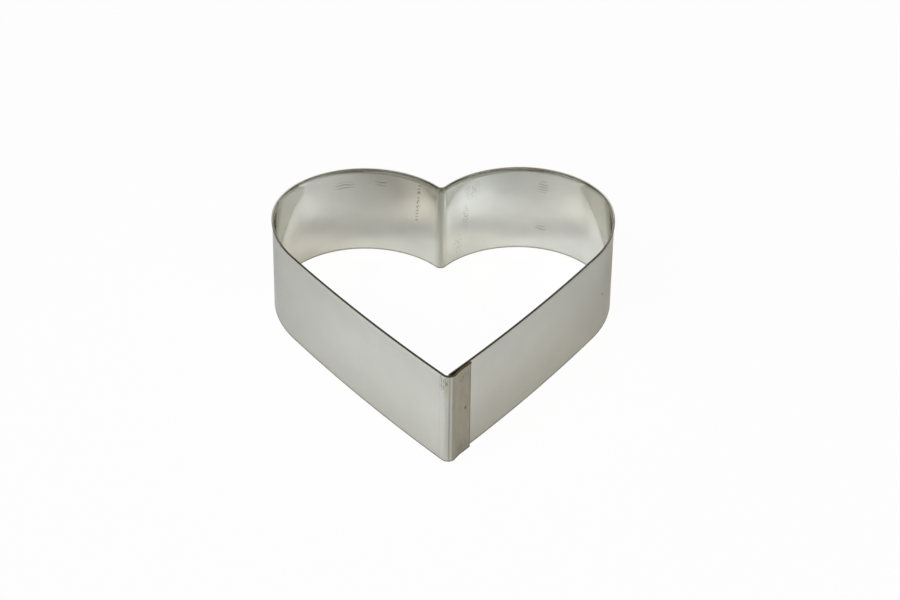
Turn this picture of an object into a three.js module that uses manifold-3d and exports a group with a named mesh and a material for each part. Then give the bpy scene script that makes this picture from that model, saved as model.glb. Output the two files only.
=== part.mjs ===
// Heart cake ring: one strip of stainless sheet bent to a heart, open at the top and the bottom.
// The strip's end laps over the outside of the right wall beside the point, where three spot
// welds hold it. Units are millimetres, +Z is up, and the point of the heart faces -Y.

import * as THREE from 'three';
import Module from 'manifold-3d';
import { mergeVertices } from 'three/addons/utils/BufferGeometryUtils.js';

const degrees = THREE.MathUtils.degToRad;

// Overall sizes, over the outside of the foot
const RING_WIDTH = 140;
const RING_DEPTH = 150;
const RING_HEIGHT = 40;

// The sheet and its edges
const SHEET = 0.8;
const EDGE_ROUND = 0.2;

// The wall leans in from foot to rim, and the last bit below the rim flares out again
const WALL_LEAN = 0.2;
const FLARE_OUT = 0.45;
const FLARE_TALL = 1.7;

// Heart outline: radii of the outer face at the foot, and the headings where the lobe's arcs meet
const SIDE_BOW_RADIUS = 860;
const FLANK_RADIUS = 55.5;
const SHOULDER_RADIUS = 37;
const LOBE_RADIUS = 40;
const SHOULDER_START = degrees(94);
const SHOULDER_END = degrees(176);
const NOTCH_RADIUS = 1.6;
const POINT_RADIUS = 3.1;
const POINT_SHIFT = -1.8;

// The lap: the tab leaves the bend with a wide mouth, settles towards the wall and lies along it
const LAP_LENGTH = 9.6;
const LAP_MOUTH = 0.85;
const LAP_GAP = 0.3;
const SETTLE_RADIUS = 25;
const INNER_END_CLEARANCE = 1;

// Spot welds: a nugget sits in a pocket that it melted into both sheets, under electrode marks
const NUGGET_RADIUS = 1.6;
const NUGGET_BITE = 0.2;
const NUGGET_CLEARANCE = 0.06;
const MARK_MARGIN = 0.3;
const MARK_DEPTH = 0.1;

// The welds were set by hand, so each has its own setback from the tab's free edge
const UPPER_WELD_SETBACK = 5.6;
const UPPER_WELD_FROM_RIM = 4.8;
const MIDDLE_WELD_SETBACK = 3.1;
const MIDDLE_WELD_HEIGHT = 20.4;
const LOWER_WELD_SETBACK = 6.3;
const LOWER_WELD_HEIGHT = 3.6;

// Fineness of the sweep
const ARC_STEP = degrees(3);
const BEND_STEP = degrees(7);
const BOW_STATIONS = 8;
const FEWEST_STEPS = 2;
const ROUND_STEPS = 3;
const FLARE_STEPS = 5;

// A heading is the direction in which the strip runs; the outer face looks to its right
function outward(heading) {
  return new THREE.Vector2(Math.sin(heading), -Math.cos(heading));
}

function headingOf(vector) {
  const heading = Math.atan2(vector.x, -vector.y);
  return heading < 0 ? heading + 2 * Math.PI : heading;
}

function mirrored(point) {
  return new THREE.Vector2(-point.x, point.y);
}

// The crossing of two circles that lies to the left of the way from the first centre to the second
function circleCrossing(centreA, radiusA, centreB, radiusB) {
  const way = centreB.clone().sub(centreA);
  const length = way.length();
  const along = (radiusA ** 2 - radiusB ** 2 + length ** 2) / (2 * length);
  const aside = Math.sqrt(radiusA ** 2 - along ** 2);
  way.divideScalar(length);
  return new THREE.Vector2(
    centreA.x + along * way.x - aside * way.y,
    centreA.y + along * way.y + aside * way.x,
  );
}

// Centres of the right half's arcs: each arc meets the next with a common tangent
const flank = new THREE.Vector2(RING_WIDTH / 2 - FLANK_RADIUS, 0);
const shoulder = flank.clone();
shoulder.addScaledVector(outward(SHOULDER_START), FLANK_RADIUS - SHOULDER_RADIUS);
const lobe = shoulder.clone();
lobe.addScaledVector(outward(SHOULDER_END), SHOULDER_RADIUS - LOBE_RADIUS);
const rise = RING_DEPTH / 2 - LOBE_RADIUS - lobe.y;
for (const centre of [flank, shoulder, lobe]) {
  centre.y += rise;
}
const notchRise = Math.sqrt((LOBE_RADIUS + NOTCH_RADIUS) ** 2 - lobe.x ** 2);
const notch = new THREE.Vector2(0, lobe.y + notchRise);

// The bend at the point rounds off the left wall and carries on outside the right wall, so the two
// sides bow about centres of their own: the right wall runs inside the tab
const point = new THREE.Vector2(POINT_SHIFT, POINT_RADIUS - RING_DEPTH / 2);
const bowReach = SIDE_BOW_RADIUS - POINT_RADIUS;
const flankReach = SIDE_BOW_RADIUS - FLANK_RADIUS;
const rightBow = circleCrossing(point, bowReach + SHEET + LAP_MOUTH, flank, flankReach);
const leftBow = mirrored(circleCrossing(mirrored(point), bowReach, flank, flankReach));

// The tab: a settling arc leads from the bend to the arc that lies along the right wall
const seatRadius = SIDE_BOW_RADIUS + LAP_GAP + SHEET;
const settle = circleCrossing(
  rightBow, seatRadius + SETTLE_RADIUS, point, POINT_RADIUS + SETTLE_RADIUS,
);
const bendEnd = headingOf(settle.clone().sub(point));
const seatStart = headingOf(settle.clone().sub(rightBow));
const seatLength = LAP_LENGTH - SETTLE_RADIUS * (bendEnd - seatStart);
const tabEdge = seatStart + seatLength / seatRadius;

// The right wall stops short of the left wall's inner face, also at the rim, where that leans in
const innerEndDepth = SHEET + WALL_LEAN + INNER_END_CLEARANCE;
const innerEnd = circleCrossing(
  leftBow, SIDE_BOW_RADIUS - innerEndDepth, rightBow, SIDE_BOW_RADIUS,
);
const wallStart = headingOf(innerEnd.sub(rightBow));
const rightSideEnd = headingOf(flank.clone().sub(rightBow));
const leftSideEnd = headingOf(flank.clone().sub(mirrored(leftBow)));
const notchStart = headingOf(notch.clone().sub(lobe));
const bendStart = -headingOf(mirrored(point.clone().sub(leftBow)));

// Walks round an arc and adds its stations; a hollow arc bends to the right, round an outer centre
function addArc(stations, centre, radius, from, to, count, hollow = false) {
  const first = stations.length > 0 ? 1 : 0;
  for (let i = first; i <= count; i += 1) {
    const normal = outward(from + ((to - from) * i) / count);
    const spot = centre.clone().addScaledVector(normal, hollow ? -radius : radius);
    stations.push({ spot, normal });
  }
}

function stepsFor(from, to, step) {
  return Math.max(FEWEST_STEPS, Math.ceil(Math.abs(to - from) / step));
}

// The arcs of one lobe, from where the side ends to the notch
function lobeArcs(sideEnd) {
  return [
    [flank, FLANK_RADIUS, sideEnd, SHOULDER_START],
    [shoulder, SHOULDER_RADIUS, SHOULDER_START, SHOULDER_END],
    [lobe, LOBE_RADIUS, SHOULDER_END, notchStart],
  ];
}

// The whole way of the strip, from its inner end to the free edge of the tab
function stripStations() {
  const stations = [];
  const fullTurn = 2 * Math.PI;
  addArc(stations, rightBow, SIDE_BOW_RADIUS, wallStart, rightSideEnd, BOW_STATIONS);
  for (const [centre, radius, from, to] of lobeArcs(rightSideEnd)) {
    addArc(stations, centre, radius, from, to, stepsFor(from, to, ARC_STEP));
  }
  const notchEnd = fullTurn - notchStart;
  const notchSteps = stepsFor(notchStart, notchEnd, BEND_STEP);
  addArc(stations, notch, NOTCH_RADIUS, notchStart, notchEnd, notchSteps, true);
  for (const [centre, radius, from, to] of lobeArcs(leftSideEnd).reverse()) {
    const steps = stepsFor(from, to, ARC_STEP);
    addArc(stations, mirrored(centre), radius, fullTurn - to, fullTurn - from, steps);
  }
  addArc(stations, leftBow, SIDE_BOW_RADIUS, -leftSideEnd, bendStart, BOW_STATIONS);
  addArc(stations, point, POINT_RADIUS, bendStart, bendEnd, stepsFor(bendStart, bendEnd, BEND_STEP));
  const settleSteps = stepsFor(bendEnd, seatStart, ARC_STEP);
  addArc(stations, settle, SETTLE_RADIUS, bendEnd, seatStart, settleSteps, true);
  addArc(stations, rightBow, seatRadius, seatStart, tabEdge, FEWEST_STEPS);
  return stations;
}

// How far the outer face stands out from the foot's outline at a height
const flareStart = RING_HEIGHT - FLARE_TALL;
function faceOffset(height) {
  if (height <= flareStart) {
    return (-WALL_LEAN * height) / flareStart;
  }
  return FLARE_OUT * ((height - flareStart) / FLARE_TALL) ** 2 - WALL_LEAN;
}

// The strip's section as points of offset and height, counter-clockwise, with rounded edges
function stripSection() {
  const section = [];
  const addRound = (offset, height, from) => {
    for (let i = 0; i <= ROUND_STEPS; i += 1) {
      const angle = from + (Math.PI / 2) * (i / ROUND_STEPS);
      const x = offset + EDGE_ROUND * Math.cos(angle);
      section.push(new THREE.Vector2(x, height + EDGE_ROUND * Math.sin(angle)));
    }
  };
  const roundTop = RING_HEIGHT - EDGE_ROUND;
  const flareHeights = [];
  for (let i = 0; i < FLARE_STEPS; i += 1) {
    flareHeights.push(flareStart + ((roundTop - flareStart) * i) / FLARE_STEPS);
  }
  const rimOffset = faceOffset(roundTop);
  addRound(-EDGE_ROUND, EDGE_ROUND, -Math.PI / 2);
  for (const height of flareHeights) {
    section.push(new THREE.Vector2(faceOffset(height), height));
  }
  addRound(rimOffset - EDGE_ROUND, roundTop, 0);
  addRound(rimOffset - SHEET + EDGE_ROUND, roundTop, Math.PI / 2);
  for (const height of flareHeights.reverse()) {
    section.push(new THREE.Vector2(faceOffset(height) - SHEET, height));
  }
  addRound(-SHEET + EDGE_ROUND, EDGE_ROUND, Math.PI);
  return section;
}

// Sweeps the section along the stations and closes both ends
function sweptStrip(stations, section) {
  const positions = [];
  for (const { spot, normal } of stations) {
    for (const { x: offset, y: height } of section) {
      positions.push(spot.x + offset * normal.x, spot.y + offset * normal.y, height);
    }
  }
  const count = section.length;
  const triangles = [];
  for (let i = 0; i + 1 < stations.length; i += 1) {
    for (let j = 0; j < count; j += 1) {
      const next = (j + 1) % count;
      const a = i * count + j;
      const b = i * count + next;
      triangles.push(a, a + count, b + count, a, b + count, b);
    }
  }
  const lastRing = (stations.length - 1) * count;
  for (const [a, b, c] of THREE.ShapeUtils.triangulateShape(section, [])) {
    triangles.push(a, b, c);
    triangles.push(lastRing + a, lastRing + c, lastRing + b);
  }
  const geometry = new THREE.BufferGeometry();
  geometry.setAttribute('position', new THREE.Float32BufferAttribute(positions, 3));
  geometry.setIndex(triangles);
  return geometry;
}

// A lens turned about its own Y axis
const LENS_RINGS = 8;
const LENS_SIDES = 24;
function lens(radius, halfThickness) {
  const curve = new THREE.EllipseCurve(0, 0, radius, halfThickness, -Math.PI / 2, Math.PI / 2);
  const profile = curve.getPoints(LENS_RINGS);
  profile[0].x = 0;
  profile[LENS_RINGS].x = 0;
  return new THREE.LatheGeometry(profile, LENS_SIDES);
}

// The tab's outer face at the foot, at a setback from its free edge: on the seat or the settling arc
function tabStation(setback) {
  const intoSettle = Math.max(0, setback - seatLength) / SETTLE_RADIUS;
  if (intoSettle > 0) {
    const normal = outward(seatStart + intoSettle);
    return { spot: settle.clone().addScaledVector(normal, -SETTLE_RADIUS), normal };
  }
  const normal = outward(tabEdge - setback / seatRadius);
  return { spot: rightBow.clone().addScaledVector(normal, seatRadius), normal };
}

// A face's normal in space: the wall's slope tips it up
const slope = Math.atan(WALL_LEAN / flareStart);
function facing(normal) {
  return new THREE.Vector3(
    normal.x * Math.cos(slope), normal.y * Math.cos(slope), Math.sin(slope),
  );
}

// A place at a height, at a distance outward from the outer face of a sheet
function offFace({ spot, normal }, height, distance) {
  const place = spot.clone().addScaledVector(normal, faceOffset(height) + distance);
  return new THREE.Vector3(place.x, place.y, height);
}

function lensTurn(normal) {
  return new THREE.Quaternion().setFromUnitVectors(new THREE.Vector3(0, 1, 0), facing(normal));
}

// A weld joins the tab to the stretch of wall behind it, across the gap that is open there
function weldAt(name, setback, height) {
  const tab = tabStation(setback);
  const fromBow = tab.spot.clone().sub(rightBow);
  const normal = outward(headingOf(fromBow));
  const wall = { spot: rightBow.clone().addScaledVector(normal, SIDE_BOW_RADIUS), normal };
  const gap = fromBow.length() - SHEET - SIDE_BOW_RADIUS;
  return {
    name,
    turn: lensTurn(wall.normal),
    place: offFace(wall, height, gap / 2),
    half: gap / 2 + NUGGET_BITE,
    tabMark: { place: offFace(tab, height, 0), turn: lensTurn(tab.normal) },
    wallMark: { place: offFace(wall, height, -SHEET), turn: lensTurn(wall.normal) },
  };
}

const welds = [
  weldAt('spot_weld_upper', UPPER_WELD_SETBACK, RING_HEIGHT - UPPER_WELD_FROM_RIM),
  weldAt('spot_weld_middle', MIDDLE_WELD_SETBACK, MIDDLE_WELD_HEIGHT),
  weldAt('spot_weld_lower', LOWER_WELD_SETBACK, LOWER_WELD_HEIGHT),
];

const wasm = await Module();
wasm.setup();

function toSolid(geometry) {
  const bare = geometry.clone();
  bare.deleteAttribute('normal');
  bare.deleteAttribute('uv');
  const welded = mergeVertices(bare);
  return new wasm.Manifold(new wasm.Mesh({
    numProp: 3,
    vertProperties: new Float32Array(welded.attributes.position.array),
    triVerts: new Uint32Array(welded.index.array),
  }));
}

function toGeometry(solid) {
  const mesh = solid.getMesh();
  const geometry = new THREE.BufferGeometry();
  geometry.setAttribute('position', new THREE.BufferAttribute(mesh.vertProperties, 3));
  geometry.setIndex(new THREE.BufferAttribute(mesh.triVerts, 1));
  geometry.computeVertexNormals();
  return geometry;
}

function placedLens(radius, halfThickness, { place, turn }) {
  const geometry = lens(radius, halfThickness);
  geometry.applyQuaternion(turn);
  geometry.translate(place.x, place.y, place.z);
  return toSolid(geometry);
}

// Each weld takes a pocket out of both sheets and leaves a shallow mark on both outer sides
const pocketRadius = NUGGET_RADIUS + NUGGET_CLEARANCE;
const markRadius = NUGGET_RADIUS + MARK_MARGIN;
let bandSolid = toSolid(sweptStrip(stripStations(), stripSection()));
for (const weld of welds) {
  const cuts = [
    placedLens(pocketRadius, weld.half + NUGGET_CLEARANCE, weld),
    placedLens(markRadius, MARK_DEPTH, weld.tabMark),
    placedLens(markRadius, MARK_DEPTH, weld.wallMark),
  ];
  for (const cut of cuts) {
    bandSolid = bandSolid.subtract(cut);
  }
}

const bandSteel = new THREE.MeshStandardMaterial({
  name: 'satin_steel', color: 0xc3c3bc, roughness: 0.32, metalness: 1,
});
const weldSteel = new THREE.MeshStandardMaterial({
  name: 'weld_steel', color: 0x8f897c, roughness: 0.5, metalness: 1,
});

const heartRing = new THREE.Group();
heartRing.name = 'heart_cake_ring';

const band = new THREE.Mesh(toGeometry(bandSolid), bandSteel);
band.name = 'heart_band';
heartRing.add(band);

const lapWelds = new THREE.Group();
lapWelds.name = 'lap_welds';
for (const { name, half, place, turn } of welds) {
  const nugget = new THREE.Mesh(lens(NUGGET_RADIUS, half), weldSteel.clone());
  nugget.name = name;
  nugget.position.copy(place);
  nugget.quaternion.copy(turn);
  lapWelds.add(nugget);
}
heartRing.add(lapWelds);

export default heartRing;
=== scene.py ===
# %% [markdown]
# # A heart-shaped cake ring
# The real object is one strip of stainless sheet, bent to a heart and left open at the top and the
# bottom. Its end laps over the outside of the right wall beside the point, where three spot welds
# hold it. Each cell below makes one piece or one finish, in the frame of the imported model.

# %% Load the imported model
import math

import bpy
from mathutils import Matrix, Vector


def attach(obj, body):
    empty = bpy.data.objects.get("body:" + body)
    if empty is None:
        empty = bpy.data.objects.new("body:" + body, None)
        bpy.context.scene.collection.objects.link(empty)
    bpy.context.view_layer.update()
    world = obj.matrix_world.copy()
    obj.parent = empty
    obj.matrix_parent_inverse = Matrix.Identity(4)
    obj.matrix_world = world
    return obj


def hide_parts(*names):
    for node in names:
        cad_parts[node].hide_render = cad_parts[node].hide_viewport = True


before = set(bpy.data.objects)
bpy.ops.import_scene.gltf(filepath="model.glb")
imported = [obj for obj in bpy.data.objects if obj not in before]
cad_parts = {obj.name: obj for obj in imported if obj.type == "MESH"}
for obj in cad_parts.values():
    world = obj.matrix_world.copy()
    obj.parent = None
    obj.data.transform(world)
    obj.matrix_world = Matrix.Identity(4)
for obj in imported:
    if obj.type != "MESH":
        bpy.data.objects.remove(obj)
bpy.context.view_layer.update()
print("nodes:", sorted(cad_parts))

# %% [markdown]
# ## The outline of the heart
# A bender forms the strip over round formers, so the outline is a chain of arcs that meet with a
# common tangent: long bows at the sides, three arcs round each lobe, a tight fold at the notch and
# a tight bend at the point. The same radii as in the model give the same outline, only finer.

# %% Sizes of the strip and its arcs
MM = 0.001
WIDTH, DEPTH, HEIGHT = 140 * MM, 150 * MM, 40 * MM
SHEET, EDGE_ROUND = 0.8 * MM, 0.12 * MM
WALL_LEAN = 0.2 * MM
FLARE_OUT, FLARE_TALL, FLARE_STOP = 0.45 * MM, 1.7 * MM, 0.22 * MM
RIM_SLOPE = 0.09
BOW, FLANK, SHOULDER, LOBE = 860 * MM, 55.5 * MM, 37 * MM, 40 * MM
NOTCH, POINT, SETTLE = 1.6 * MM, 3.1 * MM, 25 * MM
POINT_SHIFT = -1.8 * MM
LAP_LENGTH, LAP_MOUTH, LAP_GAP = 9.6 * MM, 0.85 * MM, 0.3 * MM
INNER_END_CLEARANCE = 1 * MM
SHOULDER_START, SHOULDER_END = math.radians(94), math.radians(176)
FULL_TURN = 2 * math.pi
print("ring: %.0f by %.0f by %.0f mm" % (WIDTH / MM, DEPTH / MM, HEIGHT / MM))


def outward(heading):
    """The outer face's normal where the strip runs in this direction."""
    return Vector((math.sin(heading), -math.cos(heading)))


def heading_of(normal):
    return math.atan2(normal.x, -normal.y) % FULL_TURN


def mirrored(spot):
    return Vector((-spot.x, spot.y))


def circle_crossing(centre_a, radius_a, centre_b, radius_b):
    """The crossing to the left of the way from the first centre to the second."""
    way = centre_b - centre_a
    length = way.length
    along = (radius_a**2 - radius_b**2 + length**2) / (2 * length)
    aside = math.sqrt(radius_a**2 - along**2)
    way.normalize()
    return centre_a + along * way + aside * Vector((-way.y, way.x))


# %% Centres of the arcs
flank = Vector((WIDTH / 2 - FLANK, 0))
shoulder = flank + (FLANK - SHOULDER) * outward(SHOULDER_START)
lobe = shoulder + (SHOULDER - LOBE) * outward(SHOULDER_END)
rise = Vector((0, DEPTH / 2 - LOBE - lobe.y))
flank, shoulder, lobe = flank + rise, shoulder + rise, lobe + rise
notch = Vector((0, lobe.y + math.sqrt((LOBE + NOTCH) ** 2 - lobe.x**2)))
point = Vector((POINT_SHIFT, POINT - DEPTH / 2))
right_bow = circle_crossing(point, BOW - POINT + SHEET + LAP_MOUTH, flank, BOW - FLANK)
left_bow = mirrored(circle_crossing(mirrored(point), BOW - POINT, flank, BOW - FLANK))
seat_radius = BOW + LAP_GAP + SHEET
settle = circle_crossing(right_bow, seat_radius + SETTLE, point, POINT + SETTLE)
print("lobe centre %.2f, %.2f mm" % tuple(lobe / MM))

# %% Headings where one arc hands over to the next
inner_depth = SHEET + WALL_LEAN + INNER_END_CLEARANCE
inner_end = circle_crossing(left_bow, BOW - inner_depth, right_bow, BOW)
wall_start = heading_of(inner_end - right_bow)
right_side_end = heading_of(flank - right_bow)
left_side_end = heading_of(flank - mirrored(left_bow))
notch_start = heading_of(notch - lobe)
bend_start = -heading_of(mirrored(point - left_bow))
bend_end = heading_of(settle - point)
seat_start = heading_of(settle - right_bow)
seat_length = LAP_LENGTH - SETTLE * (bend_end - seat_start)
tab_edge = seat_start + seat_length / seat_radius
print("tab: %.1f mm, of which %.1f mm lie flat" % (LAP_LENGTH / MM, seat_length / MM))

# %% Stations along the strip
# Each arc: centre, radius (negative where it bends to the right), first and last heading, spacing
LAP_SPACING, SIDE_SPACING, LOBE_SPACING = 0.3 * MM, 2 * MM, 1.2 * MM
NOTCH_SPACING, POINT_SPACING = 0.15 * MM, 0.2 * MM
UNDER_LAP = 12 * MM
under_lap_end = wall_start + UNDER_LAP / BOW
right_lobe = [
    (flank, FLANK, right_side_end, SHOULDER_START),
    (shoulder, SHOULDER, SHOULDER_START, SHOULDER_END),
    (lobe, LOBE, SHOULDER_END, notch_start),
]
left_lobe = [
    (mirrored(lobe), LOBE, FULL_TURN - notch_start, FULL_TURN - SHOULDER_END),
    (mirrored(shoulder), SHOULDER, FULL_TURN - SHOULDER_END, FULL_TURN - SHOULDER_START),
    (mirrored(flank), FLANK, FULL_TURN - SHOULDER_START, FULL_TURN - left_side_end),
]
arcs = [(right_bow, BOW, wall_start, under_lap_end, LAP_SPACING)]
arcs += [(right_bow, BOW, under_lap_end, right_side_end, SIDE_SPACING)]
arcs += [(*arc, LOBE_SPACING) for arc in right_lobe]
arcs += [(notch, -NOTCH, notch_start, FULL_TURN - notch_start, NOTCH_SPACING)]
arcs += [(*arc, LOBE_SPACING) for arc in left_lobe]
arcs += [(left_bow, BOW, -left_side_end, bend_start, SIDE_SPACING)]
arcs += [(point, POINT, bend_start, bend_end, POINT_SPACING)]
arcs += [(settle, -SETTLE, bend_end, seat_start, LAP_SPACING)]
arcs += [(right_bow, seat_radius, seat_start, tab_edge, LAP_SPACING)]

stations = []
for centre, radius, first, last, spacing in arcs:
    steps = max(2, math.ceil(abs(radius * (last - first)) / spacing))
    for step in range(1 if stations else 0, steps + 1):
        heading = first + (last - first) * step / steps
        stations.append(centre + radius * outward(heading))
strip_length = sum(abs(arc[1] * (arc[3] - arc[2])) for arc in arcs)
print("strip: %d stations, %.1f mm long" % (len(stations), strip_length / MM))

# %% [markdown]
# ## The section of the strip
# A sheared and deburred strip has a flat section with small rounds at its four edges. The faces get
# rows of points close together, because the sweep bends and dents them later. Faces and edges also
# get a row right beside each round, which keeps its smooth shading from spreading over the flat.

# %% Section points: offset from the outer face, and height
WELD_HEIGHTS = {"upper": 35.2 * MM, "middle": 20.4 * MM, "lower": 3.6 * MM}
WELD_SETBACKS = {"upper": 5.6 * MM, "middle": 3.1 * MM, "lower": 6.3 * MM}
ROUND_STEPS = 5
ROW_COARSE, ROW_FINE, DENT_REACH = 1.5 * MM, 0.35 * MM, 2.3 * MM
FLAT_ROW = 0.04 * MM

face_rows = [EDGE_ROUND + FLAT_ROW]
row_top = HEIGHT - EDGE_ROUND - FLAT_ROW
while face_rows[-1] < row_top:
    row = face_rows[-1]
    near = any(abs(row - height) < DENT_REACH for height in WELD_HEIGHTS.values())
    fine = near or row > HEIGHT - FLARE_TALL - ROW_FINE
    face_rows.append(min(row_top, row + (ROW_FINE if fine else ROW_COARSE)))


def edge_round(offset, height, first):
    """A quarter round of the edge, counter-clockwise from an angle."""
    for step in range(ROUND_STEPS + 1):
        angle = first + math.pi / 2 * step / ROUND_STEPS
        yield offset + EDGE_ROUND * math.cos(angle), height + EDGE_ROUND * math.sin(angle)


section = list(edge_round(-EDGE_ROUND, EDGE_ROUND, -math.pi / 2))
section += [(0, row) for row in face_rows]
section += edge_round(-EDGE_ROUND, HEIGHT - EDGE_ROUND, 0)
section += [(-EDGE_ROUND - FLAT_ROW, HEIGHT), (EDGE_ROUND + FLAT_ROW - SHEET, HEIGHT)]
section += edge_round(EDGE_ROUND - SHEET, HEIGHT - EDGE_ROUND, math.pi / 2)
section += [(-SHEET, row) for row in reversed(face_rows)]
section += edge_round(EDGE_ROUND - SHEET, EDGE_ROUND, math.pi)
section += [(EDGE_ROUND + FLAT_ROW - SHEET, 0), (-EDGE_ROUND - FLAT_ROW, 0)]
print("section: %d points" % len(section))


# %% Lines for the sweep: the strip's way, and the closed section with its height written downwards
def line_object(name, spots, closed):
    """An object of points joined by edges, for a node tree to read."""
    edges = [(i, i + 1) for i in range(len(spots) - 1)]
    if closed:
        edges.append((len(spots) - 1, 0))
    mesh = bpy.data.meshes.new(name)
    mesh.from_pydata([(*spot, 0) for spot in spots], edges, [])
    made = bpy.data.objects.new(name, mesh)
    bpy.context.scene.collection.objects.link(made)
    return made


band = line_object("heart_strip", [tuple(spot) for spot in stations], closed=False)
section_line = line_object("strip_section", [(x, -y) for x, y in section[::-1]], closed=True)
print("section line: %d edges" % len(section_line.data.edges))

# %% [markdown]
# ## Writing node trees as sums
# Node trees read better as arithmetic than as a list of links. This class holds one socket: sums and
# products of it add Math nodes, and add() makes any other node from its type, its settings and what
# goes into its sockets.


# %% A socket that can be added and multiplied
class Wire:
    def __init__(self, tree, socket=None):
        self.tree, self.socket = tree, socket

    def add(self, kind, settings, *values, **named):
        """A new node: settings first, then its open sockets in order, or by name."""
        node = self.tree.nodes.new(kind)
        for name, value in settings.items():
            setattr(node, name, value)
        pairs = list(zip([port for port in node.inputs if port.enabled], values))
        pairs += [(node.inputs[name], value) for name, value in named.items()]
        for port, value in pairs:
            if isinstance(value, Wire):
                self.tree.links.new(value.socket, port)
            else:
                port.default_value = value
        shown = [port for port in node.outputs if port.enabled]
        return Wire(self.tree, shown[0] if shown else None)

    def out(self, name):
        """Another output of the same node."""
        return Wire(self.tree, self.socket.node.outputs[name])

    def maths(self, operation, *values):
        return self.add("ShaderNodeMath", {"operation": operation}, *values)

    def __add__(self, other):
        return self.maths("ADD", self, other)

    def __sub__(self, other):
        return self.maths("SUBTRACT", self, other)

    def __rsub__(self, other):
        return self.maths("SUBTRACT", other, self)

    def __mul__(self, other):
        return self.maths("MULTIPLY", self, other)

    def __truediv__(self, other):
        return self.maths("DIVIDE", self, other)

    def __pow__(self, other):
        return self.maths("POWER", self, other)

    def __gt__(self, other):
        return self.maths("GREATER_THAN", self, other)

    def __lt__(self, other):
        return self.maths("LESS_THAN", self, other)

    __radd__, __rmul__ = __add__, __mul__


# %% [markdown]
# ## The sweep
# The band could be modelled by hand, but it follows a rule: one section carried along one way. A node
# tree does that with Curve to Mesh. Before the sweep the section leans in towards the rim and flares
# out again just below it, which tips the upper edge outwards, as on the real wall. The tree also
# writes where each point lies on the flat strip, its distance along and its side, so that the finish
# can follow the sheet round bends.

# %% Inputs of the sweep tree
sweep = bpy.data.node_groups.new("strip_sweep", "GeometryNodeTree")
sweep.interface.new_socket("Way", in_out="INPUT", socket_type="NodeSocketGeometry")
sweep.interface.new_socket("Band", in_out="OUTPUT", socket_type="NodeSocketGeometry")
sweep_sizes = {
    "Height": HEIGHT,
    "Sheet": SHEET,
    "Lean": WALL_LEAN,
    "Flare out": FLARE_OUT,
    "Flare tall": FLARE_TALL,
    "Flare stop": FLARE_STOP,
    "Rim slope": RIM_SLOPE,
    "Mark radius": 1.9 * MM,
    "Mark depth": 0.1 * MM,
}
sweep_inputs = {}
for name in sweep_sizes:
    made = sweep.interface.new_socket(name, in_out="INPUT", socket_type="NodeSocketFloat")
    sweep_inputs[name] = made.identifier
for name, kind in [
    ("Section", "NodeSocketObject"),
    ("Weld marks", "NodeSocketObject"),
    ("Finish", "NodeSocketMaterial"),
]:
    made = sweep.interface.new_socket(name, in_out="INPUT", socket_type=kind)
    sweep_inputs[name] = made.identifier
given = Wire(sweep).add("NodeGroupInput", {})

# %% The section leans and flares
flat_section = given.add("GeometryNodeObjectInfo", {}, given.out("Section")).out("Geometry")
flat_section = given.add("GeometryNodeMeshToCurve", {}, flat_section)
place = given.add("ShaderNodeSeparateXYZ", {}, given.add("GeometryNodeInputPosition", {}))
side = place / given.out("Sheet") * 2 + 1
marked = given.add(
    "GeometryNodeStoreNamedAttribute",
    {"data_type": "FLOAT", "domain": "POINT"},
    flat_section,
    Name="side",
    Value=side,
)
height = place.out("Y") * -1
flare_start = given.out("Height") - given.out("Flare tall")
leaning = given.out("Lean") * given.maths("MINIMUM", height / flare_start, 1)
face_height = given.maths("MINIMUM", height, given.out("Height") - given.out("Flare stop"))
above = given.maths("MAXIMUM", face_height - flare_start, 0) / given.out("Flare tall")
shift = given.out("Flare out") * above**2 - leaning
drop = (side + 1) / 2 * given.out("Sheet") * given.out("Rim slope") * above
leaned = given.add(
    "GeometryNodeSetPosition",
    {},
    marked,
    Offset=given.add("ShaderNodeCombineXYZ", {}, shift, drop, 0),
)

# %% The way carries the section
way = given.add("GeometryNodeMeshToCurve", {}, given.out("Way"))
way = given.add("GeometryNodeSetCurveNormal", {"mode": "Z_UP"}, way)
along = given.add("GeometryNodeSplineParameter", {}).out("Length")
way = given.add(
    "GeometryNodeStoreNamedAttribute",
    {"data_type": "FLOAT", "domain": "POINT"},
    way,
    Name="along",
    Value=along,
)
swept = given.add("GeometryNodeCurveToMesh", {}, way, **{"Profile Curve": leaned, "Fill Caps": True})
print("sweep: %d nodes so far" % len(sweep.nodes))

# %% [markdown]
# ## Dents of the spot welds
# The welder's electrodes pinch the lap from both sides and leave a shallow dish on the tab and on the
# inside of the wall behind it. Six points say where. Each vertex of those two faces looks for its
# nearest point and sinks along its normal, most in the middle of the dish.


# %% Places of the weld marks
def tab_station(setback):
    """The tab's outer face at the foot, at a setback from its free edge, and its normal."""
    into_settle = max(0, setback - seat_length) / SETTLE
    if into_settle > 0:
        normal = outward(seat_start + into_settle)
        return settle - SETTLE * normal, normal
    normal = outward(tab_edge - setback / seat_radius)
    return right_bow + seat_radius * normal, normal


mark_spots = []
for name, height_of_weld in WELD_HEIGHTS.items():
    lean_here = -WALL_LEAN * height_of_weld / (HEIGHT - FLARE_TALL)
    spot, normal = tab_station(WELD_SETBACKS[name])
    wall_normal = (spot - right_bow).normalized()
    tab_spot = spot + lean_here * normal
    wall_spot = right_bow + (BOW - SHEET + lean_here) * wall_normal
    mark_spots += [(*tab_spot, height_of_weld), (*wall_spot, height_of_weld)]
marks = bpy.data.meshes.new("weld_mark_points")
marks.from_pydata(mark_spots, [], [])
mark_points = bpy.data.objects.new("weld_mark_points", marks)
bpy.context.scene.collection.objects.link(mark_points)
print("weld marks: %d" % len(mark_spots))

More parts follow.
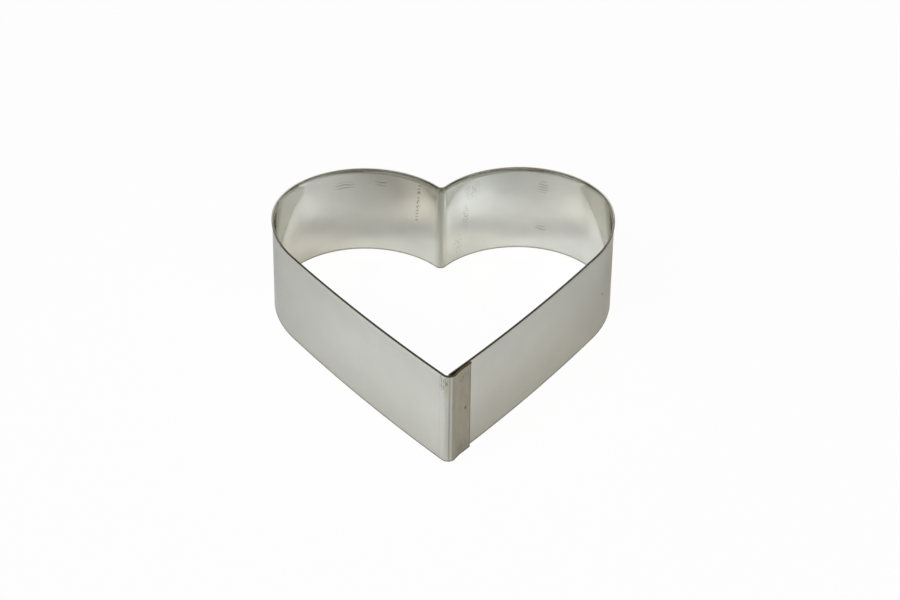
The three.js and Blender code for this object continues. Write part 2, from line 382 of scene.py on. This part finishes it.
# %% The dents, and the end of the tree
DISHED_SIDE = 0.95
mark_geometry = given.add("GeometryNodeObjectInfo", {}, given.out("Weld marks")).out("Geometry")
nearest = given.add("GeometryNodeProximity", {"target_element": "POINTS"}, mark_geometry)
apart = nearest.out("Distance") / given.out("Mark radius")
dish = given.maths("MAXIMUM", 1 - apart**2, 0) * given.out("Mark depth")
side_here = given.add("GeometryNodeInputNamedAttribute", {"data_type": "FLOAT"}, "side")
along_here = given.add("GeometryNodeInputNamedAttribute", {"data_type": "FLOAT"}, "along")
on_tab = (along_here > strip_length / 2) * (side_here > DISHED_SIDE)
on_wall = (along_here < strip_length / 2) * (side_here < -DISHED_SIDE)
inward = given.add(
    "ShaderNodeVectorMath",
    {"operation": "SCALE"},
    given.add("GeometryNodeInputNormal", {}),
    Scale=dish * (on_tab + on_wall) * -1,
)
dented = given.add("GeometryNodeSetPosition", {}, swept, Offset=inward)
smooth = given.add("GeometryNodeSetShadeSmooth", {}, dented)
realized = given.add("GeometryNodeRealizeInstances", {}, smooth)
finished = given.add("GeometryNodeSetMaterial", {}, realized, Material=given.out("Finish"))
given.add("NodeGroupOutput", {}, finished)
print("sweep: %d nodes" % len(sweep.nodes))

# %% [markdown]
# ## Satin steel
# Cold-rolled stainless is a half mirror: it shows its surroundings, softened by very fine lines from
# the rolls. One flat grey would look like paint, and a picture of steel would repeat. Here noise is
# laid on the flat strip, by the distances that the sweep wrote, so the lines follow every bend. Tones
# differ from face to face, but relief runs straight through the sheet: noise that changes within the
# thickness would roughen the narrow edges.

# %% The flat strip as the finish reads it, in millimetres
FACES_APART = 20
FACE_SIDE, ARRIS_SIDE, INNER_FACE_SIDE = 0.9, 0.65, 0.97
BACK_START, BACK_END, BACK_WIDENING = 165, 298, 0.33
steel = bpy.data.materials.new("satin_steel")
steel.use_nodes = True
steel.node_tree.nodes.clear()
start = Wire(steel.node_tree)
sheet_along = start.add("ShaderNodeAttribute", {"attribute_name": "along"}).out("Fac") / MM
sheet_side = start.add("ShaderNodeAttribute", {"attribute_name": "side"}).out("Fac")
object_place = start.add("ShaderNodeTexCoord", {}).out("Object")
sheet_up = start.add("ShaderNodeSeparateXYZ", {}, object_place).out("Z") / MM
flat_place = start.add("ShaderNodeCombineXYZ", {}, sheet_along, sheet_side * FACES_APART, sheet_up)
through_place = start.add("ShaderNodeCombineXYZ", {}, sheet_along, 0, sheet_up)

# %% Faces, the flat of the edge, and the arrises beside it
# Round the back of the lobes the flat reaches to the outer face, so only the front gets the painted
# shade of dark arrises
on_inside, on_outside = sheet_side < -FACE_SIDE, sheet_side > FACE_SIDE
at_back = (sheet_along > BACK_START) * (sheet_along < BACK_END)
outer_limit = ARRIS_SIDE + at_back * BACK_WIDENING
on_edge = (sheet_side < outer_limit) * (sheet_side > -ARRIS_SIDE)
outer_arris = sheet_side > outer_limit
inner_arris = (sheet_side < -ARRIS_SIDE) * (sheet_side > -INNER_FACE_SIDE)
print("regions: %d nodes" % len(steel.node_tree.nodes))


# %% Noise and stains
def sheet_noise(along_size, up_size, detail=2, on=flat_place):
    """Noise on the flat strip with grains of these sizes in millimetres."""
    grains = (1 / along_size, 1, 1 / up_size)
    place = start.add("ShaderNodeMapping", {}, on, Scale=grains)
    return start.add("ShaderNodeTexNoise", {}, place, Scale=1, Detail=detail)


def blended(mask, colour, other):
    """One colour where the mask is 0, the other where it is 1, in the tree being written."""
    return start.add("ShaderNodeMix", {"data_type": "RGBA"}, mask, colour, other)


def stained(colour, mask, stain):
    """A colour with a stain over it where the mask says so; a stain is a strength and a colour."""
    strength, stain_colour = stain
    return blended(mask * strength, colour, (*stain_colour, 1))


# %% Plain sheet: rolling lines, clouds of duller metal, and a faint waviness
DULL, BRIGHT = (0.6, 0.6, 0.57, 1), (0.8, 0.802, 0.762, 1)
CLOUD_SHARE, GRAIN_SHARE = 0.55, 0.45
OUTER_SHEEN = 0.25, (0.86, 0.86, 0.82)
SMOOTHEST, LINE_ROUGHNESS, CLOUD_ROUGHNESS = 0.09, 0.03, 0.05
WAVE_RELIEF, LINE_RELIEF = 0.12, 0.003
roll_lines = sheet_noise(12, 0.25, 3, through_place)
clouds = sheet_noise(12, 9, 3)
waves = sheet_noise(18, 22, 1, through_place)
grain = sheet_noise(0.7, 0.4)
tone = blended(clouds * CLOUD_SHARE + grain * GRAIN_SHARE, DULL, BRIGHT)
tone = stained(tone, on_outside, OUTER_SHEEN)
roughness = SMOOTHEST + roll_lines * LINE_ROUGHNESS + clouds * CLOUD_ROUGHNESS
relief = waves * WAVE_RELIEF + roll_lines * LINE_RELIEF
print("plain sheet: %d nodes" % len(steel.node_tree.nodes))

# %% [markdown]
# ## Marks of the maker and of use, and painted shade
# The strip shows how it was made: tool dents inside each lobe, lines where the brake bent the point, a
# tab tinted by the heat of the welds, which painted shade darkens further. Use adds short rubs inside.
# Painted shade darkens the outer foot, the foot line and the rim. Each mark is a soft patch at a
# measured place on the flat strip, times a pattern, and then stains the tone.


# %% Patches and stripes on the flat strip
def patch(along_at, up_at, along_reach, up_reach):
    """A soft patch of the flat strip: 1 in its middle and 0 from its rim on."""
    across = (sheet_along - along_at) / along_reach
    tall = (sheet_up - up_at) / up_reach
    return start.maths("MAXIMUM", 1 - across * across - tall * tall, 0)


def stripe(along_at, reach):
    """A soft upright line: 1 at its place and 0 beyond its reach."""
    apart = start.maths("ABSOLUTE", sheet_along - along_at) / reach
    return start.maths("MAXIMUM", 1 - apart, 0)


def strongest(masks):
    """The greatest of several masks."""
    most = masks[0]
    for mask in masks[1:]:
        most = start.maths("MAXIMUM", most, mask)
    return most


# %% Inside: short rubs, each a few thin lines that wander
# Each patch: distance along, height, reach along, reach up
RUBS = [(277, 32.2, 5.5, 2.4), (260.8, 33.4, 3.5, 1.8), (182, 31.2, 3, 3.6), (182.8, 10.8, 3, 1.8)]
RUB_SPACING, RUB_WANDER, RUB_WIDTH = 1.4, 1.6, 0.36
RUB_STAIN, RUB_ROUGHNESS = (0.8, (0.36, 0.345, 0.3)), 0.12
rubs = strongest([patch(*rub) for rub in RUBS]) * on_inside
rub_steps = start.maths("FRACT", sheet_up / RUB_SPACING + sheet_noise(6, 5, 1) * RUB_WANDER)
rub_lines = rubs * (rub_steps < RUB_WIDTH)
tone = stained(tone, rub_lines, RUB_STAIN)
roughness = roughness + rub_lines * RUB_ROUGHNESS
print("rubs: %d" % len(RUBS))

# %% Inside: a slanting line of tool dents left of the notch, and pecks right of it
DENTS_AT, DENTS_LEAN, DENTS_REACH = 242.8, 0.08, 0.8
DENTS_FOOT, DENTS_TOP = 18.5, 37
DENT_SPACING, DENT_SLANT, DENT_WANDER, DENT_WIDTH = 2, 0.6, 2, 0.4
DENT_STAIN, DENT_RELIEF = (0.75, (0.24, 0.2, 0.13)), -0.04
PECKED = [(214.1, 32.6, 5, 5.5), (217.5, 20.4, 2, 7), (221.6, 7.8, 3, 6)]
PECK_LEVEL, PECK_STAIN, PECK_RELIEF = 0.55, (0.6, (0.38, 0.37, 0.31)), 0.015
aside = (sheet_along - DENTS_AT - (DENTS_TOP - sheet_up) * DENTS_LEAN) / DENTS_REACH
dent_line = start.maths("MAXIMUM", 1 - aside * aside, 0)
dent_line = dent_line * (sheet_up > DENTS_FOOT) * (sheet_up < DENTS_TOP)
slanted_up = (sheet_up + aside * DENT_SLANT) / DENT_SPACING
dent_steps = start.maths("FRACT", slanted_up + sheet_noise(3, 4, 1) * DENT_WANDER)
dents = dent_line * (dent_steps < DENT_WIDTH) * on_inside
pecked = strongest([patch(*place) for place in PECKED]) * on_inside
pecks = pecked * (sheet_noise(0.8, 0.9, 1) > PECK_LEVEL)
tone = stained(tone, dents, DENT_STAIN)
tone = stained(tone, pecks, PECK_STAIN)
relief = relief + dents * DENT_RELIEF + pecks * PECK_RELIEF
print("dents from %.1f to %.1f mm up" % (DENTS_FOOT, DENTS_TOP))

# %% Outside: heat tint on the tab from the welds, and painted shade that darkens it further
BROWN_START, BROWN_FADE = 462.8, 0.5
BROWN_LEAST, BROWN_CLOUDS = 0.8, 0.4
BROWN_AND_SHADE_STAIN = 0.68, (0.265, 0.225, 0.145)
past_bend = start.maths("MAXIMUM", (sheet_along - BROWN_START) / BROWN_FADE, 0)
browned_and_shaded = start.maths("MINIMUM", past_bend, 1) * (BROWN_LEAST + sheet_noise(3, 5, 3) * BROWN_CLOUDS)
# Partly heat tint, partly painted shade: the tab darker and browner than the wall beside it
tone = stained(tone, browned_and_shaded * on_outside, BROWN_AND_SHADE_STAIN)
print("tab browned from %.1f mm on" % BROWN_START)

# %% Outside: lines of the brake at the point, its straw tint, and a scrape near the rim
BEND_LINE, BESIDE_BEND, BESIDE_SHARE = (461.85, 0.45), (462.45, 0.5), 0.3
STREAKED, STREAK_LEVEL, STREAK_SHARE = (458.5, 4.5), 0.54, 0.35
STRAW_PATCH, STRAW_STAIN = (461.2, 36, 2.6, 8), (0.5, (0.6, 0.57, 0.42))
SCRAPE_PATCH, SCRAPE_LEVEL = (459.2, 36.4, 3, 5), 0.55
BEND_STAIN, BEND_RELIEF = (0.65, (0.24, 0.22, 0.17)), -0.05
SCRAPE_STAIN, SCRAPE_RELIEF = (0.85, (0.27, 0.24, 0.16)), -0.03
streaks = stripe(*STREAKED) * (sheet_noise(0.5, 45) > STREAK_LEVEL)
bent = stripe(*BEND_LINE) + stripe(*BESIDE_BEND) * BESIDE_SHARE + streaks * STREAK_SHARE
scrape = patch(*SCRAPE_PATCH) * (sheet_noise(0.45, 2.2) > SCRAPE_LEVEL)
tone = stained(tone, bent * on_outside, BEND_STAIN)
tone = stained(tone, patch(*STRAW_PATCH) * on_outside, STRAW_STAIN)
tone = stained(tone, scrape * on_outside, SCRAPE_STAIN)
relief = relief + (bent * BEND_RELIEF + scrape * SCRAPE_RELIEF) * on_outside
print("bend line at %.1f mm" % BEND_LINE[0])

# %% The fold at the notch, duller and with painted shade, painted shade along the tab's free edge, and painted shadow inside the lap
FOLD_LINE, TAB_EDGE_SHADE_LINE = (231.2, 3.2), (474.6, 0.8)
WALL_UNDER_TAB, TAB_START, LAP_EDGE_START = 12.5, 463, 460
FOLD_PAINTED_SHADE, FOLD_ROUGHNESS = (0.5, (0.37, 0.37, 0.29)), 0.1
TAB_EDGE_PAINTED_SHADE = 0.75, (0.14, 0.12, 0.08)
LAP_PAINTED_SHADOW, LAP_ROUGHNESS = (0.95, (0.06, 0.035, 0.012)), 0.2
# Painted shade: a darker band down the fold at the notch, which is also rougher
fold = stripe(*FOLD_LINE) * on_inside
under_tab = (sheet_along < WALL_UNDER_TAB) * on_outside
inside_tab = (sheet_along > TAB_START) * on_inside
in_lap = strongest([under_tab, inside_tab])
tone = stained(tone, fold, FOLD_PAINTED_SHADE)
# Painted shade: a dark line along the tab's free edge, for its shade and the gap beside it
tone = stained(tone, stripe(*TAB_EDGE_SHADE_LINE) * on_outside, TAB_EDGE_PAINTED_SHADE)
# Painted shadow: the faces inside the lap turn nearly black brown, as the narrow gap lies in shade
tone = stained(tone, in_lap, LAP_PAINTED_SHADOW)
roughness = roughness + fold * FOLD_ROUGHNESS + in_lap * LAP_ROUGHNESS
print("fold and lap: %d nodes" % len(steel.node_tree.nodes))

# %% Rings and a pit of the welds, and a speck on the right wall
RINGS = [(469, 35.2, 1.5, 1.5), (468.3, 3.6, 1.4, 1.4)]
PITS = [(471.6, 20.4, 0.6, 0.8), (107.8, 17.6, 0.6, 0.6)]
RING_STAIN, RING_ROUGHNESS = (0.4, (0.3, 0.24, 0.17)), 0.1
PIT_STAIN, PIT_RELIEF = (1, (0.05, 0.04, 0.03)), -0.15
# A disc times what it lacks to 1 is a ring, and 4 brings its crest to 1
discs = strongest([patch(*ring) for ring in RINGS])
rings = discs * (1 - discs) * 4 * on_outside
pits = strongest([patch(*pit) for pit in PITS]) * on_outside
tone = stained(tone, rings, RING_STAIN)
tone = stained(tone, pits, PIT_STAIN)
roughness = roughness + rings * RING_ROUGHNESS
relief = relief + pits * PIT_RELIEF
print("rings: %d, pits: %d" % (len(RINGS), len(PITS)))

# %% Painted shade on the outer foot and along the foot, and the edges: painted dark arrises, a clean flat, dark brown at the lap
FOOT_SHADE_TALL, CONTACT_SHADE_TALL = 28, 0.9
RIM_SHADE_START, RIM_SHADE_FADE = 39.35, 0.2
RIM_SHADE_INSIDE, RIM_SHADE_OUTSIDE, RIM_SHADE_ARRIS = 0.3, 0.65, 0.5
FOOT_PAINTED_SHADE, CONTACT_PAINTED_SHADE = (0.33, (0.42, 0.41, 0.36)), (1, (0.16, 0.14, 0.1))
RIM_PAINTED_SHADE, EDGE_STAIN = (1, (0.08, 0.07, 0.055)), (1, (0.72, 0.7, 0.64))
LAP_EDGE_STAIN = 0.9, (0.27, 0.18, 0.055)
EDGE_ROUGHNESS, LAP_EDGE_ROUGHNESS = 0.02, 0.2
# Painted shade: the outer face darker towards the foot, where it mirrors the floor in the ring's shade
outer_foot_shade = start.add("ShaderNodeClamp", {}, 1 - sheet_up / FOOT_SHADE_TALL) * on_outside
# Painted contact shade: a dark line along the foot, on every face, where the ring meets the floor
foot_contact_shade = start.maths("MAXIMUM", 1 - sheet_up / CONTACT_SHADE_TALL, 0)
# Painted shade: a dark line along the rim, darkest on the arrises, standing in for the dark room and
# ceiling that the rim mirrors
rim_painted_shade = start.add("ShaderNodeClamp", {}, (sheet_up - RIM_SHADE_START) / RIM_SHADE_FADE)
rim_painted_shade *= RIM_SHADE_INSIDE + outer_arris * RIM_SHADE_OUTSIDE + inner_arris * RIM_SHADE_ARRIS
# The edges at the lap darker, browner and rougher
lap_edge = on_edge * strongest([sheet_along < WALL_UNDER_TAB, sheet_along > LAP_EDGE_START])
tone = stained(tone, outer_foot_shade, FOOT_PAINTED_SHADE)
tone = stained(tone, foot_contact_shade, CONTACT_PAINTED_SHADE)
tone = stained(tone, rim_painted_shade, RIM_PAINTED_SHADE)
tone = stained(tone, on_edge, EDGE_STAIN)
tone = stained(tone, lap_edge, LAP_EDGE_STAIN)
roughness = roughness + on_edge * EDGE_ROUGHNESS + lap_edge * LAP_EDGE_ROUGHNESS
print("foot and edges: %d nodes" % len(steel.node_tree.nodes))

# %% Tone, roughness and relief become metal
GRAZING_TINT = (0.92, 0.92, 0.9, 1)
bump = start.add("ShaderNodeBump", {}, Strength=1, Distance=MM, Height=relief)
surface = start.add(
    "ShaderNodeBsdfPrincipled",
    {},
    **{
        "Base Color": tone,
        "Metallic": 1,
        "Roughness": roughness,
        "Specular Tint": GRAZING_TINT,
        "Normal": bump,
    },
)
start.add("ShaderNodeOutputMaterial", {}, surface)
print("satin steel: %d nodes" % len(steel.node_tree.nodes))

# %% [markdown]
# ## The band as a mesh
# The tree runs once and its result is kept as a plain mesh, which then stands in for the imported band.
# A closed mesh whose faces look outwards has a positive volume, so the printed one would give a band
# away that is inside out.

# %% Run the sweep and keep its mesh
modifier = band.modifiers.new("sweep", "NODES")
modifier.node_group = sweep
for name, value in sweep_sizes.items():
    modifier[sweep_inputs[name]] = value
modifier[sweep_inputs["Section"]] = section_line
modifier[sweep_inputs["Weld marks"]] = mark_points
modifier[sweep_inputs["Finish"]] = steel
evaluated = band.evaluated_get(bpy.context.evaluated_depsgraph_get())
band_mesh = bpy.data.meshes.new_from_object(evaluated)
band.modifiers.remove(modifier)
band.data = band_mesh
for helper in (section_line, mark_points):
    bpy.data.objects.remove(helper)
band_mesh.calc_loop_triangles()
volume = 0
for triangle in band_mesh.loop_triangles:
    a, b, c = (band_mesh.vertices[corner].co for corner in triangle.vertices)
    volume += a.dot(b.cross(c)) / 6
print("band: %d triangles, %.0f mm3" % (len(band_mesh.loop_triangles), volume / MM**3))
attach(band, "root")
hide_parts("heart_band")

# %% [markdown]
# ## Weld metal
# A spot weld is a lens of metal that melted between the two sheets. The three lenses are the packed
# model's own pieces and their shape is right, so only their finish is new: dull metal with the straw
# and brown tints that heat leaves, which noise mixes.

# %% Heat-tinted weld metal on the three lenses
WELD_NODES = ["spot_weld_upper", "spot_weld_middle", "spot_weld_lower"]
TINT_SCALE, GRAIN_SCALE = 700, 4000
BROWN, STRAW = (0.17, 0.12, 0.07, 1), (0.42, 0.36, 0.26, 1)
WELD_SMOOTHEST, WELD_GRAIN_ROUGHNESS = 0.35, 0.25
WELD_RELIEF = 0.05 * MM
weld_metal = bpy.data.materials.new("weld_steel")
weld_metal.use_nodes = True
weld_metal.node_tree.nodes.clear()
start = Wire(weld_metal.node_tree)
weld_place = start.add("ShaderNodeTexCoord", {}).out("Object")
tint = start.add("ShaderNodeTexNoise", {}, weld_place, Scale=TINT_SCALE, Detail=3)
weld_grain = start.add("ShaderNodeTexNoise", {}, weld_place, Scale=GRAIN_SCALE, Detail=2)
weld_tone = blended(tint, BROWN, STRAW)
weld_bump = start.add("ShaderNodeBump", {}, Strength=0.5, Distance=WELD_RELIEF, Height=weld_grain)
weld_surface = start.add(
    "ShaderNodeBsdfPrincipled",
    {},
    **{
        "Base Color": weld_tone,
        "Metallic": 1,
        "Roughness": WELD_SMOOTHEST + weld_grain * WELD_GRAIN_ROUGHNESS,
        "Normal": weld_bump,
    },
)
start.add("ShaderNodeOutputMaterial", {}, weld_surface)
for name in WELD_NODES:
    for weld_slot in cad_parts[name].material_slots:
        weld_slot.material = weld_metal
print("weld metal: %d nodes" % len(weld_metal.node_tree.nodes))

# %% [markdown]
# ## Floor
# A polished ring is seen by what it mirrors, so the floor matters as much as the steel. It is white
# paper. To the eye and in the metal part of its white is a glow of strength 1, which keeps the page
# white; the rest is ordinary paper, which still takes the shadow of the ring.

# %% White paper under the ring
FLOOR_SIZE, FLOOR_DROP = 12, 0.05 * MM
SEEN_GLOW, MIRRORED_GLOW = 0.965, 0.07
WHITE, PAPER = (1, 1, 1, 1), (0.94, 0.94, 0.94, 1)
bpy.ops.mesh.primitive_plane_add(size=FLOOR_SIZE, location=(0, 0, -FLOOR_DROP))
floor = bpy.context.object
floor.name = "studio_floor"
paper = bpy.data.materials.new("white_paper")
paper.use_nodes = True
paper.node_tree.nodes.clear()
start = Wire(paper.node_tree)
rays = start.add("ShaderNodeLightPath", {})
mirrored_rays = rays.out("Is Glossy Ray") + rays.out("Is Transmission Ray")
glow = rays.out("Is Camera Ray") * SEEN_GLOW + mirrored_rays * MIRRORED_GLOW
lit = start.add("ShaderNodeBsdfDiffuse", {}, Color=PAPER)
glowing = start.add("ShaderNodeEmission", {}, Color=WHITE, Strength=1)
start.add("ShaderNodeOutputMaterial", {}, start.add("ShaderNodeMixShader", {}, glow, lit, glowing))
floor.data.materials.append(paper)
print("floor: %.0f m wide" % FLOOR_SIZE)

# %% [markdown]
# ## Lamps
# Two softboxes light the ring. The key stands to the left and leaves the floor right of the ring in
# half shade, which the right wall mirrors. A warmer fill from the front right opens that shade. Both
# send light off the curved walls to the floor, where it gathers in bright bows that the lobes show,
# so the setting that blurs such light is turned off.

# %% A key from the left and a fill from the front right
LAMP_DISTANCE = 3


def softbox(name, azimuth, elevation, size, power, colour):
    """A square lamp that looks at the ring; azimuth 0 is in front, positive to the right."""
    turn, tilt = math.radians(azimuth), math.radians(elevation)
    way = Vector((math.sin(turn) * math.cos(tilt), -math.cos(turn) * math.cos(tilt), math.sin(tilt)))
    lamp = bpy.data.lights.new(name, "AREA")
    lamp.size, lamp.energy, lamp.color = size, power, colour
    made = bpy.data.objects.new(name, lamp)
    made.location = way * LAMP_DISTANCE
    made.rotation_euler = (-way).to_track_quat("-Z", "Y").to_euler()
    bpy.context.scene.collection.objects.link(made)
    print("%s: %.0f W, %.1f m wide" % (name, power, size))


softbox("key_softbox", azimuth=-60, elevation=41, size=3, power=61, colour=(0.94, 0.975, 1))
softbox("fill_softbox", azimuth=42, elevation=50, size=2, power=30, colour=(1, 0.955, 0.86))
bpy.context.scene.cycles.blur_glossy = 0

# %% [markdown]
# ## Room
# The edges and the flared rim look past the floor into the room, so they need something to mirror:
# a pale backdrop behind the ring, a dimmer room in front and a dark ceiling, which the front rim
# shows as a dark line. Only mirrored rays see the room at that strength; as light it is weak, so the
# softboxes alone shape the shadows.

# %% A pale backdrop behind and a dim room in front
ROOM_LIGHT = 0.02
MIRRORED_ROOM, MIRRORED_BACKDROP, MIRRORED_CEILING = 0.45, 1, 0.05
CEILING_START, CEILING_FADE = 0.57, 0.1
BACKDROP_RISE, BACKDROP_AT_SIDES = 2, 0.2
ROOM_COLOUR = (1, 0.96, 0.88, 1)
world = bpy.data.worlds.new("studio_room")
bpy.context.scene.world = world
world.use_nodes = True
world.node_tree.nodes.clear()
start = Wire(world.node_tree)
rays = start.add("ShaderNodeLightPath", {})
looking = start.add("ShaderNodeSeparateXYZ", {}, start.add("ShaderNodeTexCoord", {}).out("Generated"))
backwards = start.add("ShaderNodeClamp", {}, looking.out("Y") * BACKDROP_RISE + BACKDROP_AT_SIDES)
low = start.add("ShaderNodeClamp", {}, (CEILING_START - looking.out("Z")) / CEILING_FADE)
walls = MIRRORED_ROOM + backwards * (MIRRORED_BACKDROP - MIRRORED_ROOM)
mirrored_room = MIRRORED_CEILING + low * (walls - MIRRORED_CEILING)
strength = ROOM_LIGHT + rays.out("Is Glossy Ray") * mirrored_room
room = start.add("ShaderNodeBackground", {}, ROOM_COLOUR, strength)
page = start.add("ShaderNodeBackground", {}, WHITE, 1)
seen = start.add("ShaderNodeMixShader", {}, rays.out("Is Camera Ray"), room, page)
start.add("ShaderNodeOutputWorld", {}, seen)
print("room: %d nodes" % len(world.node_tree.nodes))

# %% [markdown]
# ## Camera
# The view is from the front and half above, with a long lens, as for a catalogue. The angles and the
# aim come from fitting the outline of rim and foot to the picture, so they aren't round numbers.

# %% A long lens in front and above
VIEW_ANGLES = (-2.584, 35.315, 0.823)
VIEW_AZIMUTH, VIEW_ELEVATION, VIEW_ROLL = (math.radians(angle) for angle in VIEW_ANGLES)
VIEW_DISTANCE, AIM_RIGHT, AIM_UP = 0.9713, 0.00177, 0.01925
SENSOR_WIDTH, LENS, NEAREST = 36, 95.85, 0.05
back = Vector((
    math.sin(VIEW_AZIMUTH) * math.cos(VIEW_ELEVATION),
    -math.cos(VIEW_AZIMUTH) * math.cos(VIEW_ELEVATION),
    math.sin(VIEW_ELEVATION),
))
level = Vector((math.cos(VIEW_AZIMUTH), math.sin(VIEW_AZIMUTH), 0))
upright = back.cross(level)
right = math.cos(VIEW_ROLL) * level + math.sin(VIEW_ROLL) * upright
up = math.cos(VIEW_ROLL) * upright - math.sin(VIEW_ROLL) * level
camera_data = bpy.data.cameras.new("camera")
camera_data.sensor_width = SENSOR_WIDTH
camera_data.lens = LENS
camera_data.clip_start = NEAREST
camera = bpy.data.objects.new("camera", camera_data)
eye = back * VIEW_DISTANCE
behind = (eye - right * AIM_RIGHT - up * AIM_UP).normalized()
sideways = up.cross(behind).normalized()
turn = Matrix((sideways, behind.cross(sideways), behind)).transposed().to_4x4()
camera.matrix_world = Matrix.Translation(eye) @ turn
bpy.context.scene.collection.objects.link(camera)
bpy.context.scene.camera = camera
bpy.context.scene.view_settings.view_transform = "Standard"
print("camera at", [round(v, 3) for v in camera.location])
